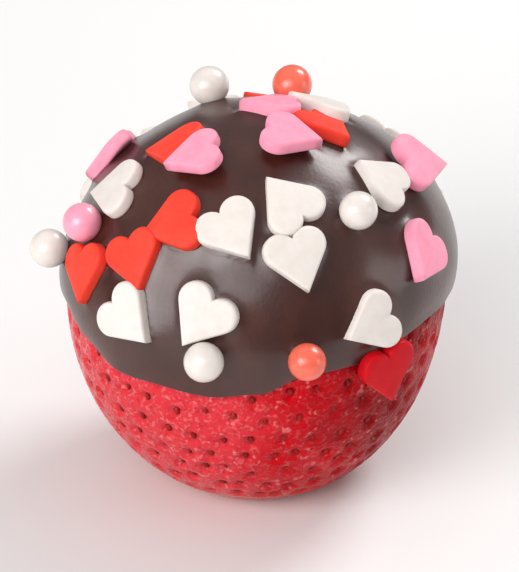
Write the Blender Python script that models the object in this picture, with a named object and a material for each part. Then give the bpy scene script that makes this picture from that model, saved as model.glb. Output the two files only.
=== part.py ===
"""A strawberry whose tip is dipped in dark chocolate and strewn with sugar hearts and pearls.

It stands tip up on the flat face where its leafy cap was cut away. Blender 4.5, metres, +Z up.
The origin is the middle of that cut face. Azimuth 0 faces the front, -Y, and grows towards +X.

The fruit is one solid: a net of six-sided cells runs round its bare flank, and each cell is sunk
to a pit with a seed in it. The chocolate is a second solid, a shell that the sprinkles are fused to.
"""

import bisect
import math
import random

import bmesh
import bpy
from mathutils import Matrix, Vector

MM = 0.001
TURN = 2 * math.pi

# The fruit
FRUIT_RADIUS = 18.9 * MM  # at its widest
CUT_TO_WIDEST = 20.3 * MM  # height of the widest ring over the cut face
SHOULDER_DEPTH = 22.4 * MM  # from the widest ring to where the shoulders would close
DOME_HEIGHT = 18.3 * MM  # from the widest ring to the tip
SHOULDER_FULLNESS = 2.05  # 2 is an ellipse, and more is squarer
DOME_FULLNESS = 1.92  # under 2 the dome draws in to a blunt tip
TIP_LEAN = 0.9 * MM  # how far the tip stands to the right of the cut's middle
BULGE = 0.1  # how much wider the fruit is at its swelling, high on the right
BULGE_AZIMUTH = math.radians(105)
BULGE_SPREAD = math.radians(50)
BULGE_HEIGHT = 31 * MM
BULGE_REACH = 9 * MM
MERIDIAN_STEPS = 400

# The pits and their seeds
PIT_COLUMNS = 36
PIT_ROWS = 9
NECK_LENGTH = 3.8 * MM  # smooth skin between the cut's edge and the first pits
PIT_WANDER = 0.11  # how far a pit strays from its place, as a share of the pitch
PIT_DEPTH = 0.55 * MM
PIT_WALL = 0.78 * MM  # how wide the slope down into a pit is
SEED_RISE = 0.45 * MM
PIT_SEED_NUMBER = 7
DOME_RINGS = 8  # smooth rings under the chocolate

# The chocolate
GAP = 0.3 * MM  # between the fruit's skin and the shell's inner wall
CHOCOLATE_AT_EDGE = 0.4 * MM
EDGE_REACH = 4 * MM  # how far up from its edge the chocolate is thinner
CHOCOLATE_ON_FLANK = 0.75 * MM
CHOCOLATE_AT_TIP = 1.15 * MM  # the dip gathers at the tip
SHELL_COLUMNS = 48
RIM_STEP = 15  # degrees between two of the rim's measured heights
RIM_RISES = (
    *(-0.4, 1.4, 1.5, 2.2, 2.3, 1.8, 1.1, 0.4, -0.5, -0.3, 0.3, 0.8),
    *(1.1, 0.8, 0.2, -0.3, -0.8, -0.2, 0.9, 1.4, 0.2, -1.2, -0.9, -1.1),
)  # in mm over the widest ring, from the front round to the right

# The sprinkles
HEART_WIDTH = 6.4 * MM
HEART_LENGTH = 6.3 * MM
HEART_THICKNESS = 1.5 * MM
HEART_CHAMFER = 0.3 * MM
HEART_SUNK = 0.25 * MM  # how far a heart's middle lies in the chocolate
LOBE_SHARE = 0.27  # a lobe's radius, as a share of the heart's width
LOBE_STEPS = 4
PEARL_RADIUS = 2.0 * MM
PEARL_SUNK = 0.4 * MM
SHELL_HOLD = 0.15 * MM  # how much deeper than its seat a solid sprinkle reaches, so that it fuses
STEEP_TIP = 0.3  # a heart tipped more than this stands on its edge and reaches no deeper
HIDDEN_TRIES = 5000
HIDDEN_SPACING = 4.9 * MM
HIDDEN_LIFT = 0.5  # in mm, the most that one lies on its neighbour
HIDDEN_SEED_NUMBER = 50
HIDDEN_HEARTS = 0.65  # the share of them that are hearts
HEART_HIDES_AT = -0.36  # how far the skin faces away from the viewer where a heart is out of sight
PEARL_HIDES_AT = -0.5
LEAST_FACING = 0.08  # and how far it faces the viewer, at least, under a sprinkle that shows

# The front view that the front sprinkles' places are read in, in pixels
VIEW_ELEVATION = math.radians(32)
MM_PER_PIXEL = 0.57
VIEW_MIDDLE = (213, 250)  # the middle of the fruit's widest ring

# kind, x, y, the way its point faces (degrees, 0 right and 90 up), lift off the chocolate in mm,
# and how far it is tipped towards the viewer, or away if less than 0 (0 lies flat)
FRONT_SPRINKLES = (
    ("pearl", 204.5, 213, 0, 0.2, 0),
    ("pearl", 219.5, 214, 0, 0, 0),
    ("heart", 215.5, 218, 180, -0.1, -0.2),
    ("heart", 224, 218, 165, -0.1, -0.2),
    ("heart", 225.5, 222, 320, -0.1, -0.2),
    ("heart", 219.5, 223.5, 345, 0.7, -0.15),
    ("heart", 198.5, 225.5, 190, -0.1, -0.2),
    ("heart", 202, 227, 200, 1.0, -0.2),
    ("heart", 188, 233, 193, 0, 0),
    ("heart", 186, 225.5, 225, 0, -0.2),
    ("pearl", 182.5, 238.5, 0, 0, 0),
    ("pearl", 176.5, 243, 0, 0.2, 0),
    ("heart", 198.5, 239, 200, 0, 0),
    ("heart", 183, 247.5, 265, 0, 0),
    ("heart", 192, 245.5, 280, 0, 0),
    ("heart", 209, 240.5, 304, 0, 0),
    ("heart", 218.5, 235, 133, 0, 0),
    ("heart", 220.5, 245.5, 288, 0, 0),
    ("pearl", 231, 236.5, 0, 0, 0),
    ("heart", 235, 231, 145, 0, 0),
    ("heart", 242.5, 228, 340, 0.9, 0.35),
    ("heart", 242.5, 244.5, 255, 0, -0.15),
    ("heart", 233, 256.5, 212, 0, 0.15),
    ("heart", 203.5, 255.5, 236, 0, 0),
    ("pearl", 204, 263, 0, 0, 0),
    ("heart", 191, 255.5, 309, 0, 0),
    ("pearl", 222, 263, 0, 0, 0),
    ("heart", 236, 265, 275, 0, 0),
)


def superellipse(share, fullness):
    """How wide a shoulder or dome still is at this share of its height: 1 at its base, 0 at its end."""
    return max(0.0, 1 - share**fullness) ** (1 / fullness)


def measured_meridian():
    """Lists of run, radius and height up the fruit's side; run is the way along the skin from the cut."""
    radii, heights = [], []
    cut_angle = -math.asin((CUT_TO_WIDEST / SHOULDER_DEPTH) ** (SHOULDER_FULLNESS / 2))
    for step in range(MERIDIAN_STEPS + 1):
        angle = cut_angle + (math.pi / 2 - cut_angle) * step / MERIDIAN_STEPS
        depth, fullness = (
            (-SHOULDER_DEPTH, SHOULDER_FULLNESS) if angle < 0 else (DOME_HEIGHT, DOME_FULLNESS)
        )
        share = abs(math.sin(angle)) ** (2 / fullness)
        radii.append(FRUIT_RADIUS * superellipse(min(share, 1.0), fullness))
        heights.append(CUT_TO_WIDEST + depth * share)
    heights[0] = 0.0
    runs = [0.0]
    for i in range(1, len(radii)):
        runs.append(runs[-1] + math.hypot(radii[i] - radii[i - 1], heights[i] - heights[i - 1]))
    return runs, radii, heights


RUNS, RADII, HEIGHTS = measured_meridian()
TIP_RUN = RUNS[-1]
RIM_RUN = RUNS[bisect.bisect(HEIGHTS, CUT_TO_WIDEST)]


def at_run(run):
    """Radius, height and the skin's outward direction (out, up) at this run."""
    i = min(max(bisect.bisect(RUNS, run), 1), len(RUNS) - 1)
    share = (run - RUNS[i - 1]) / (RUNS[i] - RUNS[i - 1])
    out, up = HEIGHTS[i] - HEIGHTS[i - 1], RADII[i - 1] - RADII[i]
    size = math.hypot(out, up)
    radius = RADII[i - 1] + (RADII[i] - RADII[i - 1]) * share
    height = HEIGHTS[i - 1] + (HEIGHTS[i] - HEIGHTS[i - 1]) * share
    return radius, height, out / size, up / size


def unevenness(azimuth, height):
    """The fruit isn't quite round: its radius here over its mean radius."""
    aside = (azimuth - BULGE_AZIMUTH + math.pi) % TURN - math.pi
    swelling = math.exp(-((aside / BULGE_SPREAD) ** 2) - ((height - BULGE_HEIGHT) / BULGE_REACH) ** 2)
    return 1 - 0.008 * math.cos(2 * azimuth) + 0.007 * math.cos(3 * azimuth - 1.1) + BULGE * swelling


def skin_point(run, azimuth, off=0.0):
    """The point of the fruit's skin at this run and azimuth, or a point `off` outside it."""
    radius, height, out, up = at_run(run)
    radius = radius * unevenness(azimuth, height) + off * out
    lean = TIP_LEAN * max(0.0, (height - CUT_TO_WIDEST) / DOME_HEIGHT) ** 2
    return Vector((radius * math.sin(azimuth) + lean, -radius * math.cos(azimuth), height + off * up))


def skin_normal(run, azimuth):
    _, _, out, up = at_run(run)
    return Vector((out * math.sin(azimuth), -out * math.cos(azimuth), up))


def rim_run(azimuth):
    """Where the chocolate ends: the dip's wavy edge, drawn smoothly through RIM_RISES."""
    place = math.degrees(azimuth % TURN) / RIM_STEP
    before = int(place)
    share = (1 - math.cos(math.pi * (place - before))) / 2
    low, high = RIM_RISES[before % len(RIM_RISES)], RIM_RISES[(before + 1) % len(RIM_RISES)]
    return RIM_RUN + (low + (high - low) * share) * MM


def chocolate_off(run, azimuth):
    """How far the chocolate's outer face stands off the fruit's skin."""
    past_rim = max(0.0, run - rim_run(azimuth))
    share = past_rim / (TIP_RUN - rim_run(azimuth))
    thinning = max(0.0, 1 - past_rim / EDGE_REACH) ** 2
    return (
        GAP
        + CHOCOLATE_ON_FLANK
        + (CHOCOLATE_AT_TIP - CHOCOLATE_ON_FLANK) * share**2
        + (CHOCOLATE_AT_EDGE - CHOCOLATE_ON_FLANK) * thinning
    )


def finish(name, colour, roughness):
    material = bpy.data.materials.new(name)
    material.use_nodes = True
    shader = material.node_tree.nodes["Principled BSDF"]
    shader.inputs["Base Color"].default_value = (*colour, 1.0)
    shader.inputs["Roughness"].default_value = roughness
    shader.inputs["Metallic"].default_value = 0.0
    material.diffuse_color = (*colour, 1.0)
    return material


def add_object(name, bm, material):
    mesh = bpy.data.meshes.new(name)
    bmesh.ops.recalc_face_normals(bm, faces=bm.faces)
    bm.to_mesh(mesh)
    bm.free()
    mesh.materials.append(material)
    part = bpy.data.objects.new(name, mesh)
    bpy.context.scene.collection.objects.link(part)
    return part


def join_rings(bm, low, high):
    """A band of faces between two rings of as many vertices."""
    count = len(low)
    for i in range(count):
        bm.faces.new((low[i], low[(i + 1) % count], high[(i + 1) % count], high[i]))


def close_ring(bm, ring, pole):
    for i, vertex in enumerate(ring):
        bm.faces.new((vertex, ring[(i + 1) % len(ring)], pole))


def pit_places():
    """Run and azimuth of each pit, by (row, half column).

    There is one more row at each end to draw the net by. The rows are staggered by half a column, so
    that six pits stand round each one.
    """
    rng = random.Random(PIT_SEED_NUMBER)
    pitch = TURN * FRUIT_RADIUS / PIT_COLUMNS
    row_height = pitch * math.sqrt(3) / 2
    places = {}
    for row in range(-1, PIT_ROWS + 1):
        for column in range(PIT_COLUMNS):
            half = 2 * column + row % 2
            run = NECK_LENGTH + row_height * (row + 2 / 3) + rng.uniform(-1, 1) * PIT_WANDER * pitch
            azimuth = TURN * (half + rng.uniform(-1, 1) * PIT_WANDER * 2) / (2 * PIT_COLUMNS)
            places[row, half] = run, azimuth
    return places


def net_corner(places, line, half):
    """A corner of the net, which lies amid the three pits that meet there."""
    upper_alone = (half + line) % 2 == 0
    if upper_alone:
        meeting = ((line, half), (line - 1, half - 1), (line - 1, half + 1))
    else:
        meeting = ((line, half - 1), (line, half + 1), (line - 1, half))
    halves = 2 * PIT_COLUMNS
    runs, azimuths = [], []
    for row, at in meeting:
        run, azimuth = places[row, at % halves]
        runs.append(run)
        azimuths.append(azimuth + TURN * (at // halves))
    return sum(runs) / 3, sum(azimuths) / 3


def build_fruit():
    bm = bmesh.new()
    halves = 2 * PIT_COLUMNS
    places = pit_places()
    net = [
        [bm.verts.new(skin_point(*net_corner(places, line, half))) for half in range(halves)]
        for line in range(PIT_ROWS + 1)
    ]
    cells = []
    for row in range(PIT_ROWS):
        for column in range(PIT_COLUMNS):
            half = 2 * column + row % 2
            low = [net[row][(half + side) % halves] for side in (-1, 0, 1)]
            high = [net[row + 1][(half + side) % halves] for side in (1, 0, -1)]
            cells.append(bm.faces.new(low + high))

    def plain_ring(run):
        return [bm.verts.new(skin_point(run, TURN * half / halves)) for half in range(halves)]

    neck = [plain_ring(run) for run in (0.0, NECK_LENGTH * 0.35)]
    join_rings(bm, neck[0], neck[1])
    join_rings(bm, neck[1], net[0])
    bm.faces.new(reversed(neck[0]))

    net_top = max(places[PIT_ROWS, half][0] for half in range(PIT_ROWS % 2, halves, 2))
    below = net[-1]
    for ring_number in range(DOME_RINGS):
        ring = plain_ring(net_top + (TIP_RUN - net_top) * ring_number / DOME_RINGS)
        join_rings(bm, below, ring)
        below = ring
    close_ring(bm, below, bm.verts.new(skin_point(TIP_RUN, 0.0)))

    bmesh.ops.recalc_face_normals(bm, faces=bm.faces)
    bmesh.ops.inset_individual(bm, faces=cells, thickness=PIT_WALL, depth=-PIT_DEPTH)
    bmesh.ops.poke(bm, faces=cells, offset=SEED_RISE)
    return add_object("strawberry", bm, finish("Strawberry skin", (0.58, 0.008, 0.016), 0.3))


def build_shell():
    """The chocolate alone: up the inner wall to the tip and down the outer face, as one closed surface."""
    bm = bmesh.new()
    inner = (0.86, 0.7, 0.54, 0.38, 0.22, 0.09, 0.0)
    outer = (0.0, 0.03, 0.08, 0.16, 0.26, 0.36, 0.46, 0.56, 0.66, 0.76, 0.86, 0.94)
    rings = []
    for share, outside in [(share, False) for share in inner] + [(share, True) for share in outer]:
        ring = []
        for column in range(SHELL_COLUMNS):
            azimuth = TURN * column / SHELL_COLUMNS
            run = rim_run(azimuth) + (TIP_RUN - rim_run(azimuth)) * share
            stand_off = chocolate_off(run, azimuth) if outside else GAP
            ring.append(bm.verts.new(skin_point(run, azimuth, stand_off)))
        rings.append(ring)
    for low, high in zip(rings, rings[1:]):
        join_rings(bm, low, high)
    close_ring(bm, rings[-1], bm.verts.new(skin_point(TIP_RUN, 0.0, GAP + CHOCOLATE_AT_TIP)))
    close_ring(bm, rings[0], bm.verts.new(skin_point(TIP_RUN, 0.0, GAP)))
    return add_object("chocolate_coating", bm, finish("Dark chocolate", (0.045, 0.022, 0.016), 0.35))


def heart_outline(width, length):
    """A heart's outline round the origin, from its notch to its point and back, its point towards -Y."""
    lobe = LOBE_SHARE * width
    across = width / 2 - lobe
    up = length / 2 - lobe
    point = Vector((0.0, -length / 2))
    to_point = point - Vector((across, up))
    first = math.acos(-across / lobe)
    last = math.atan2(to_point.y, to_point.x) + math.acos(lobe / to_point.length)
    right = []
    for step in range(1, LOBE_STEPS + 1):
        angle = first + (last - first) * step / LOBE_STEPS
        right.append(Vector((across + lobe * math.cos(angle), up + lobe * math.sin(angle))))
    notch = Vector((0.0, up + lobe * math.sin(first)))
    left = [Vector((-corner.x, corner.y)) for corner in reversed(right)]
    return [notch, *right, point, *left]


def heart_mesh(reach_down):
    """A sugar heart as a flat solid with a chamfered top, which reaches that far under its seat."""
    outline = heart_outline(HEART_WIDTH, HEART_LENGTH)
    top_scale = 1 - 2 * HEART_CHAMFER / HEART_LENGTH
    bm = bmesh.new()
    rings = [
        [bm.verts.new((corner.x * scale, corner.y * scale, height)) for corner in outline]
        for scale, height in (
            (1.0, -reach_down),
            (1.0, HEART_THICKNESS - HEART_CHAMFER),
            (top_scale, HEART_THICKNESS),
        )
    ]
    for low, high in zip(rings, rings[1:]):
        join_rings(bm, low, high)
    bm.faces.new(rings[0])
    bm.faces.new(rings[-1])
    bmesh.ops.recalc_face_normals(bm, faces=bm.faces)
    return bm


def pearl_mesh():
    bm = bmesh.new()
    bmesh.ops.create_icosphere(bm, subdivisions=2, radius=PEARL_RADIUS)
    return bm


def seat_middle(kind, lift):
    """How far over the chocolate a sprinkle's middle stands."""
    if kind == "pearl":
        return PEARL_RADIUS - PEARL_SUNK + lift
    return HEART_THICKNESS / 2 - HEART_SUNK + lift


def view_axes():
    """Right, up and towards the eye in the front view."""
    lift, level = math.sin(VIEW_ELEVATION), math.cos(VIEW_ELEVATION)
    return Vector((1, 0, 0)), Vector((0, lift, level)), Vector((0, -level, lift))


def seat_seen_at(x, y, middle):
    """Run and azimuth of the place where a sprinkle, its middle that far off the chocolate, shows here."""
    right, up, eye = view_axes()
    origin = Vector((0, 0, CUT_TO_WIDEST))
    scale = MM_PER_PIXEL * MM
    wanted = Vector(((x - VIEW_MIDDLE[0]) * scale, (VIEW_MIDDLE[1] - y) * scale))

    def miss(run, azimuth):
        seen = skin_point(run, azimuth, chocolate_off(run, azimuth) + middle) - origin
        away = (Vector((seen.dot(right), seen.dot(up))) - wanted).length
        turned_away = max(0.0, LEAST_FACING - skin_normal(run, azimuth).dot(eye))
        return away + turned_away * FRUIT_RADIUS

    lowest, highest = RIM_RUN - 2 * MM, TIP_RUN - 0.1 * MM
    grid = [(lowest + (highest - lowest) * i / 16, TURN * j / 36) for i in range(17) for j in range(36)]
    run, azimuth = min(grid, key=lambda place: miss(*place))
    run_step, azimuth_step = 1 * MM, TURN / 72
    while run_step > 0.01 * MM:
        around = [
            (min(run + i * run_step, highest), azimuth + j * azimuth_step)
            for i in (-1, 0, 1)
            for j in (-1, 0, 1)
        ]
        nearest = min(around, key=lambda place: miss(*place))
        if nearest == (run, azimuth):
            run_step, azimuth_step = run_step / 2, azimuth_step / 2
        run, azimuth = nearest
    return run, azimuth


def along_skin(way, run, azimuth):
    """The direction along the skin here that shows as `way` in the front view."""
    _, _, eye = view_axes()
    normal = skin_normal(run, azimuth)
    return way - eye * (way.dot(normal) / max(normal.dot(eye), 0.25))


def placed(run, azimuth, way, height, tip):
    """The matrix of a sprinkle there, its point turned towards `way`, its seat that far off the chocolate."""
    _, _, eye = view_axes()
    normal = (skin_normal(run, azimuth) + eye * tip).normalized()
    along = (way - normal * way.dot(normal)).normalized()
    matrix = Matrix((normal.cross(along), -along, normal)).transposed().to_4x4()
    matrix.translation = skin_point(run, azimuth, chocolate_off(run, azimuth) + height)
    return matrix


def front_seats():
    """Kind, run, azimuth, way, lift and tip of each sprinkle on the side that faces the front view."""
    right, up, _ = view_axes()
    for kind, x, y, way, lift, tip in FRONT_SPRINKLES:
        run, azimuth = seat_seen_at(x, y, seat_middle(kind, lift * MM))
        angle = math.radians(way)
        pointing = right * math.cos(angle) + up * math.sin(angle)
        yield kind, run, azimuth, along_skin(pointing, run, azimuth), lift * MM, tip


def hidden_seats(taken):
    """The same for the far side, strewn as thickly by a seeded draw, clear of the places already taken."""
    rng = random.Random(HIDDEN_SEED_NUMBER)
    _, _, eye = view_axes()
    for _ in range(HIDDEN_TRIES):
        azimuth = rng.uniform(0, TURN)
        run = rng.uniform(rim_run(azimuth) + HEART_LENGTH / 2, TIP_RUN)
        keep = rng.random()
        way = Vector([rng.uniform(-1, 1) for _ in range(3)])
        kind = "heart" if rng.random() < HIDDEN_HEARTS else "pearl"
        lift = rng.uniform(0, HIDDEN_LIFT) * MM if kind == "heart" else 0.0
        place = skin_point(run, azimuth)
        out_of_view = HEART_HIDES_AT if kind == "heart" else PEARL_HIDES_AT
        if keep > at_run(run)[0] / FRUIT_RADIUS or skin_normal(run, azimuth).dot(eye) > out_of_view:
            continue
        if min((place - other).length for other in taken) < HIDDEN_SPACING:
            continue
        taken.append(place)
        yield kind, run, azimuth, way, lift, 0


def build_sprinkles():
    """Every sprinkle as an object of its own, in a collection that the shell is joined with."""
    collection = bpy.data.collections.new("sprinkles")
    bpy.context.scene.collection.children.link(collection)
    seats = list(front_seats())
    seats += hidden_seats([skin_point(run, azimuth) for _, run, azimuth, *_ in seats])
    for number, (kind, run, azimuth, way, lift, tip) in enumerate(seats):
        if kind == "pearl":
            bm = pearl_mesh()
            height = seat_middle(kind, lift)
        else:
            bm = heart_mesh(0.0 if tip > STEEP_TIP else SHELL_HOLD + lift)
            height = lift - HEART_SUNK
        bm.transform(placed(run, azimuth, way, height, tip))
        mesh = bpy.data.meshes.new(f"sprinkle_{number}")
        bm.to_mesh(mesh)
        bm.free()
        collection.objects.link(bpy.data.objects.new(mesh.name, mesh))
    return collection


def fuse(part, collection):
    """Joins the collection's objects to the part in one union, then removes them."""
    union = part.modifiers.new("sprinkles", "BOOLEAN")
    union.operation = "UNION"
    union.operand_type = "COLLECTION"
    union.collection = collection
    union.solver = "EXACT"
    union.use_self = True
    bpy.context.view_layer.update()
    joined = bpy.data.meshes.new_from_object(part.evaluated_get(bpy.context.evaluated_depsgraph_get()))
    part.modifiers.clear()
    part.data = joined
    for member in list(collection.objects):
        bpy.data.objects.remove(member)
    bpy.data.collections.remove(collection)


def main():
    for old in list(bpy.data.objects):
        bpy.data.objects.remove(old)
    build_fruit()
    shell = build_shell()
    fuse(shell, build_sprinkles())


main()
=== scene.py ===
# %% [markdown]
# # A strawberry dipped in dark chocolate
# The berry was hulled, stood on its flat cut end and dipped tip first, and sugar hearts and pearls
# were thrown on while the chocolate was wet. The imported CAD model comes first, as a fixed frame:
# every piece below is made where its solids already are, and no CAD object is moved.

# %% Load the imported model
import bisect
import math
import random

import bmesh
import bpy
from mathutils import Matrix, Vector


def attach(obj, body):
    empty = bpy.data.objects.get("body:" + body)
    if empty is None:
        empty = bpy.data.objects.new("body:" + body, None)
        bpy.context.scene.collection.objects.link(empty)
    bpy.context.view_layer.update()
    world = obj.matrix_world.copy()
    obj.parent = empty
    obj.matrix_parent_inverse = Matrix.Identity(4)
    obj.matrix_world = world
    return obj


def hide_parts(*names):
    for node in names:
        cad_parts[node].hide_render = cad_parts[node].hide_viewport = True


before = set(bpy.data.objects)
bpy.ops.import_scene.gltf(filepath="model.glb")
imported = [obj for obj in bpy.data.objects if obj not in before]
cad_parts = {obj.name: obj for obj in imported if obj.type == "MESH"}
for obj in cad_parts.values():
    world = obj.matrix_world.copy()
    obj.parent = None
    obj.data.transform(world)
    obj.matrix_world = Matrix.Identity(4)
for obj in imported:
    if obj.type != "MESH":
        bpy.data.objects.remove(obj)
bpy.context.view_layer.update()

# %% [markdown]
# ## Writing node trees as sums
# A node tree built in a script soon turns into pages of sockets and links. A small class that wraps
# an output socket lets Python's own operators add the Math nodes, so that `1 - pit * 0.3` is a
# finished piece of shader. Everything else comes from one function, which takes a node's type, its
# settings and what goes into its sockets. Both serve materials and Geometry Nodes alike.

# %% Wires and nodes
class Wire:
    """A node's output, which adds Math nodes to its tree when it is used in a sum."""

    def __init__(self, tree, socket):
        self.tree = tree
        self.socket = socket

    def maths(self, operation, *values):
        return add_node(self.tree, "ShaderNodeMath", {"operation": operation}, dict(enumerate(values)))

    def __add__(self, other):
        return self.maths("ADD", self, other)

    __radd__ = __add__

    def __mul__(self, other):
        return self.maths("MULTIPLY", self, other)

    __rmul__ = __mul__

    def __sub__(self, other):
        return self.maths("SUBTRACT", self, other)

    def __rsub__(self, other):
        return self.maths("SUBTRACT", other, self)

    def __truediv__(self, other):
        return self.maths("DIVIDE", self, other)

    def __pow__(self, other):
        return self.maths("POWER", self, other)

    def __neg__(self):
        return self * -1

    def exp(self):
        return self.maths("EXPONENT", self)

    def steps(self, low, high):
        """0 below low, 1 above high and a smooth rise between them."""
        return add_node(
            self.tree,
            "ShaderNodeMapRange",
            {"interpolation_type": "SMOOTHSTEP"},
            {"Value": self, "From Min": low, "From Max": high},
        )


def add_node(tree, kind, settings=None, inputs=None, output=0):
    """Adds a node, gives it its settings and then its inputs, and returns one of its outputs as a Wire."""
    node = tree.nodes.new(kind)
    for name, value in (settings or {}).items():
        if name == "stops":
            ramp = node.color_ramp
            while len(ramp.elements) < len(value):
                ramp.elements.new(0.5)
            for element, (place, colour) in zip(ramp.elements, value):
                element.position = place
                element.color = (*colour, 1)
        else:
            setattr(node, name, value)
    for name, value in (inputs or {}).items():
        if isinstance(value, Wire):
            tree.links.new(value.socket, node.inputs[name])
        else:
            node.inputs[name].default_value = value
    return Wire(tree, node.outputs[output])


# %% [markdown]
# ## The berry's side
# A strawberry is nearly round about its core, so one curve up its side says most of its shape: a
# rounded shoulder from the cut face to the widest ring, then a dome that draws in to a blunt tip.
# Each half is a superellipse, an ellipse whose exponent sets how square it is. A place on the skin is
# then a run, the way along that curve from the cut's edge, and an azimuth, which is 0 at the front and
# grows to the right. These sizes are the CAD model's own.

# %% Sizes of the fruit and the curve up its side
MM = 0.001
TURN = 2 * math.pi
FRUIT_RADIUS = 18.9 * MM
CUT_TO_WIDEST = 20.3 * MM
SHOULDER_DEPTH = 22.4 * MM
DOME_HEIGHT = 18.3 * MM
SHOULDER_FULLNESS = 2.05
DOME_FULLNESS = 1.92
TIP_LEAN = 0.9 * MM
BULGE = 0.1  # how much wider the fruit is at its swelling, high on the right
BULGE_AZIMUTH = math.radians(105)
BULGE_SPREAD = math.radians(50)
BULGE_HEIGHT = 31 * MM
BULGE_REACH = 9 * MM
MERIDIAN_STEPS = 400


def superellipse(share, fullness):
    return max(0.0, 1 - share**fullness) ** (1 / fullness)


def measured_meridian():
    """Lists of run, radius and height up the fruit's side."""
    radii, heights = [], []
    cut_angle = -math.asin((CUT_TO_WIDEST / SHOULDER_DEPTH) ** (SHOULDER_FULLNESS / 2))
    for step in range(MERIDIAN_STEPS + 1):
        angle = cut_angle + (math.pi / 2 - cut_angle) * step / MERIDIAN_STEPS
        depth, fullness = (
            (-SHOULDER_DEPTH, SHOULDER_FULLNESS) if angle < 0 else (DOME_HEIGHT, DOME_FULLNESS)
        )
        share = abs(math.sin(angle)) ** (2 / fullness)
        radii.append(FRUIT_RADIUS * superellipse(min(share, 1.0), fullness))
        heights.append(CUT_TO_WIDEST + depth * share)
    heights[0] = 0.0
    runs = [0.0]
    for i in range(1, len(radii)):
        runs.append(runs[-1] + math.hypot(radii[i] - radii[i - 1], heights[i] - heights[i - 1]))
    return runs, radii, heights


RUNS, RADII, HEIGHTS = measured_meridian()
TIP_RUN = RUNS[-1]
RIM_RUN = RUNS[bisect.bisect(HEIGHTS, CUT_TO_WIDEST)]
print(f"the curve is {TIP_RUN / MM:.1f} mm long, and the cut face is {2 * RADII[0] / MM:.1f} mm across")

# %% Points and directions on the skin
def at_run(run):
    """Radius, height and the skin's outward direction (out, up) at this run."""
    i = min(max(bisect.bisect(RUNS, run), 1), len(RUNS) - 1)
    share = (run - RUNS[i - 1]) / (RUNS[i] - RUNS[i - 1])
    out, up = HEIGHTS[i] - HEIGHTS[i - 1], RADII[i - 1] - RADII[i]
    size = math.hypot(out, up)
    radius = RADII[i - 1] + (RADII[i] - RADII[i - 1]) * share
    height = HEIGHTS[i - 1] + (HEIGHTS[i] - HEIGHTS[i - 1]) * share
    return radius, height, out / size, up / size


def unevenness(azimuth, height):
    aside = (azimuth - BULGE_AZIMUTH + math.pi) % TURN - math.pi
    swelling = math.exp(-((aside / BULGE_SPREAD) ** 2) - ((height - BULGE_HEIGHT) / BULGE_REACH) ** 2)
    return 1 - 0.008 * math.cos(2 * azimuth) + 0.007 * math.cos(3 * azimuth - 1.1) + BULGE * swelling


def skin_point(run, azimuth, off=0.0):
    """The point of the fruit's skin at this run and azimuth, or a point `off` outside it."""
    radius, height, out, up = at_run(run)
    radius = radius * unevenness(azimuth, height) + off * out
    lean = TIP_LEAN * max(0.0, (height - CUT_TO_WIDEST) / DOME_HEIGHT) ** 2
    return Vector((radius * math.sin(azimuth) + lean, -radius * math.cos(azimuth), height + off * up))


def skin_normal(run, azimuth):
    _, _, out, up = at_run(run)
    return Vector((out * math.sin(azimuth), -out * math.cos(azimuth), up))


# %% [markdown]
# ## Geometry Nodes as recipes
# Pits, seeds and sprinkles all repeat, so each is a recipe in Geometry Nodes with its sizes as named
# inputs. The recipe runs once on a plain mesh, and its result is kept as a mesh of its own, because
# the export wants real geometry and no live modifier.

# %% Helpers for recipes and plain meshes
def new_recipe(name, inputs):
    """A Geometry Nodes tree that takes a geometry and these (name, kind, value) inputs."""
    tree = bpy.data.node_groups.new(name, "GeometryNodeTree")
    interface = tree.interface
    interface.new_socket("Geometry", in_out="INPUT", socket_type="NodeSocketGeometry")
    interface.new_socket("Geometry", in_out="OUTPUT", socket_type="NodeSocketGeometry")
    for label, kind, value in inputs:
        socket = interface.new_socket(label, in_out="INPUT", socket_type=f"NodeSocket{kind}")
        if value is not None:
            socket.default_value = value
    source = tree.nodes.new("NodeGroupInput")
    given = {socket.name: Wire(tree, socket) for socket in source.outputs if socket.name}
    return tree, given


def end_recipe(tree, geometry, material):
    """Realize Instances, Set Material and the way out."""
    real = add_node(tree, "GeometryNodeRealizeInstances", None, {"Geometry": geometry})
    painted = add_node(tree, "GeometryNodeSetMaterial", None, {"Geometry": real, "Material": material})
    tree.links.new(painted.socket, tree.nodes.new("NodeGroupOutput").inputs["Geometry"])


def run_recipe(name, base, tree, values):
    """Runs a recipe on a base mesh's object and returns the result as a plain object; the base goes."""
    modifier = base.modifiers.new(tree.name, "NODES")
    modifier.node_group = tree
    for socket in tree.interface.items_tree:
        if socket.in_out == "INPUT" and socket.name in values:
            modifier[socket.identifier] = values[socket.name]
    bpy.context.view_layer.update()
    evaluated = base.evaluated_get(bpy.context.evaluated_depsgraph_get())
    mesh = bpy.data.meshes.new_from_object(evaluated)
    bpy.data.objects.remove(base)
    mesh.name = name
    return show(name, mesh)


def show(name, mesh, smooth=True):
    piece = bpy.data.objects.new(name, mesh)
    bpy.context.scene.collection.objects.link(piece)
    mesh.polygons.foreach_set("use_smooth", [smooth] * len(mesh.polygons))
    mesh.update()
    return piece


def plain_mesh(name, bm):
    bmesh.ops.recalc_face_normals(bm, faces=bm.faces)
    mesh = bpy.data.meshes.new(name)
    bm.to_mesh(mesh)
    bm.free()
    return mesh


def join_rings(bm, low, high):
    count = len(low)
    for i in range(count):
        bm.faces.new((low[i], low[(i + 1) % count], high[(i + 1) % count], high[i]))


def close_ring(bm, ring, pole):
    for i, vertex in enumerate(ring):
        bm.faces.new((vertex, ring[(i + 1) % len(ring)], pole))


# %% [markdown]
# ## Finishes
# Colours are read off the photograph as screen values, and a shader needs them linear, so one small
# function turns the one into the other. A finish starts from a Principled shader whose even values sit
# on its own sockets. Only what changes over the surface comes through nodes.

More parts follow.
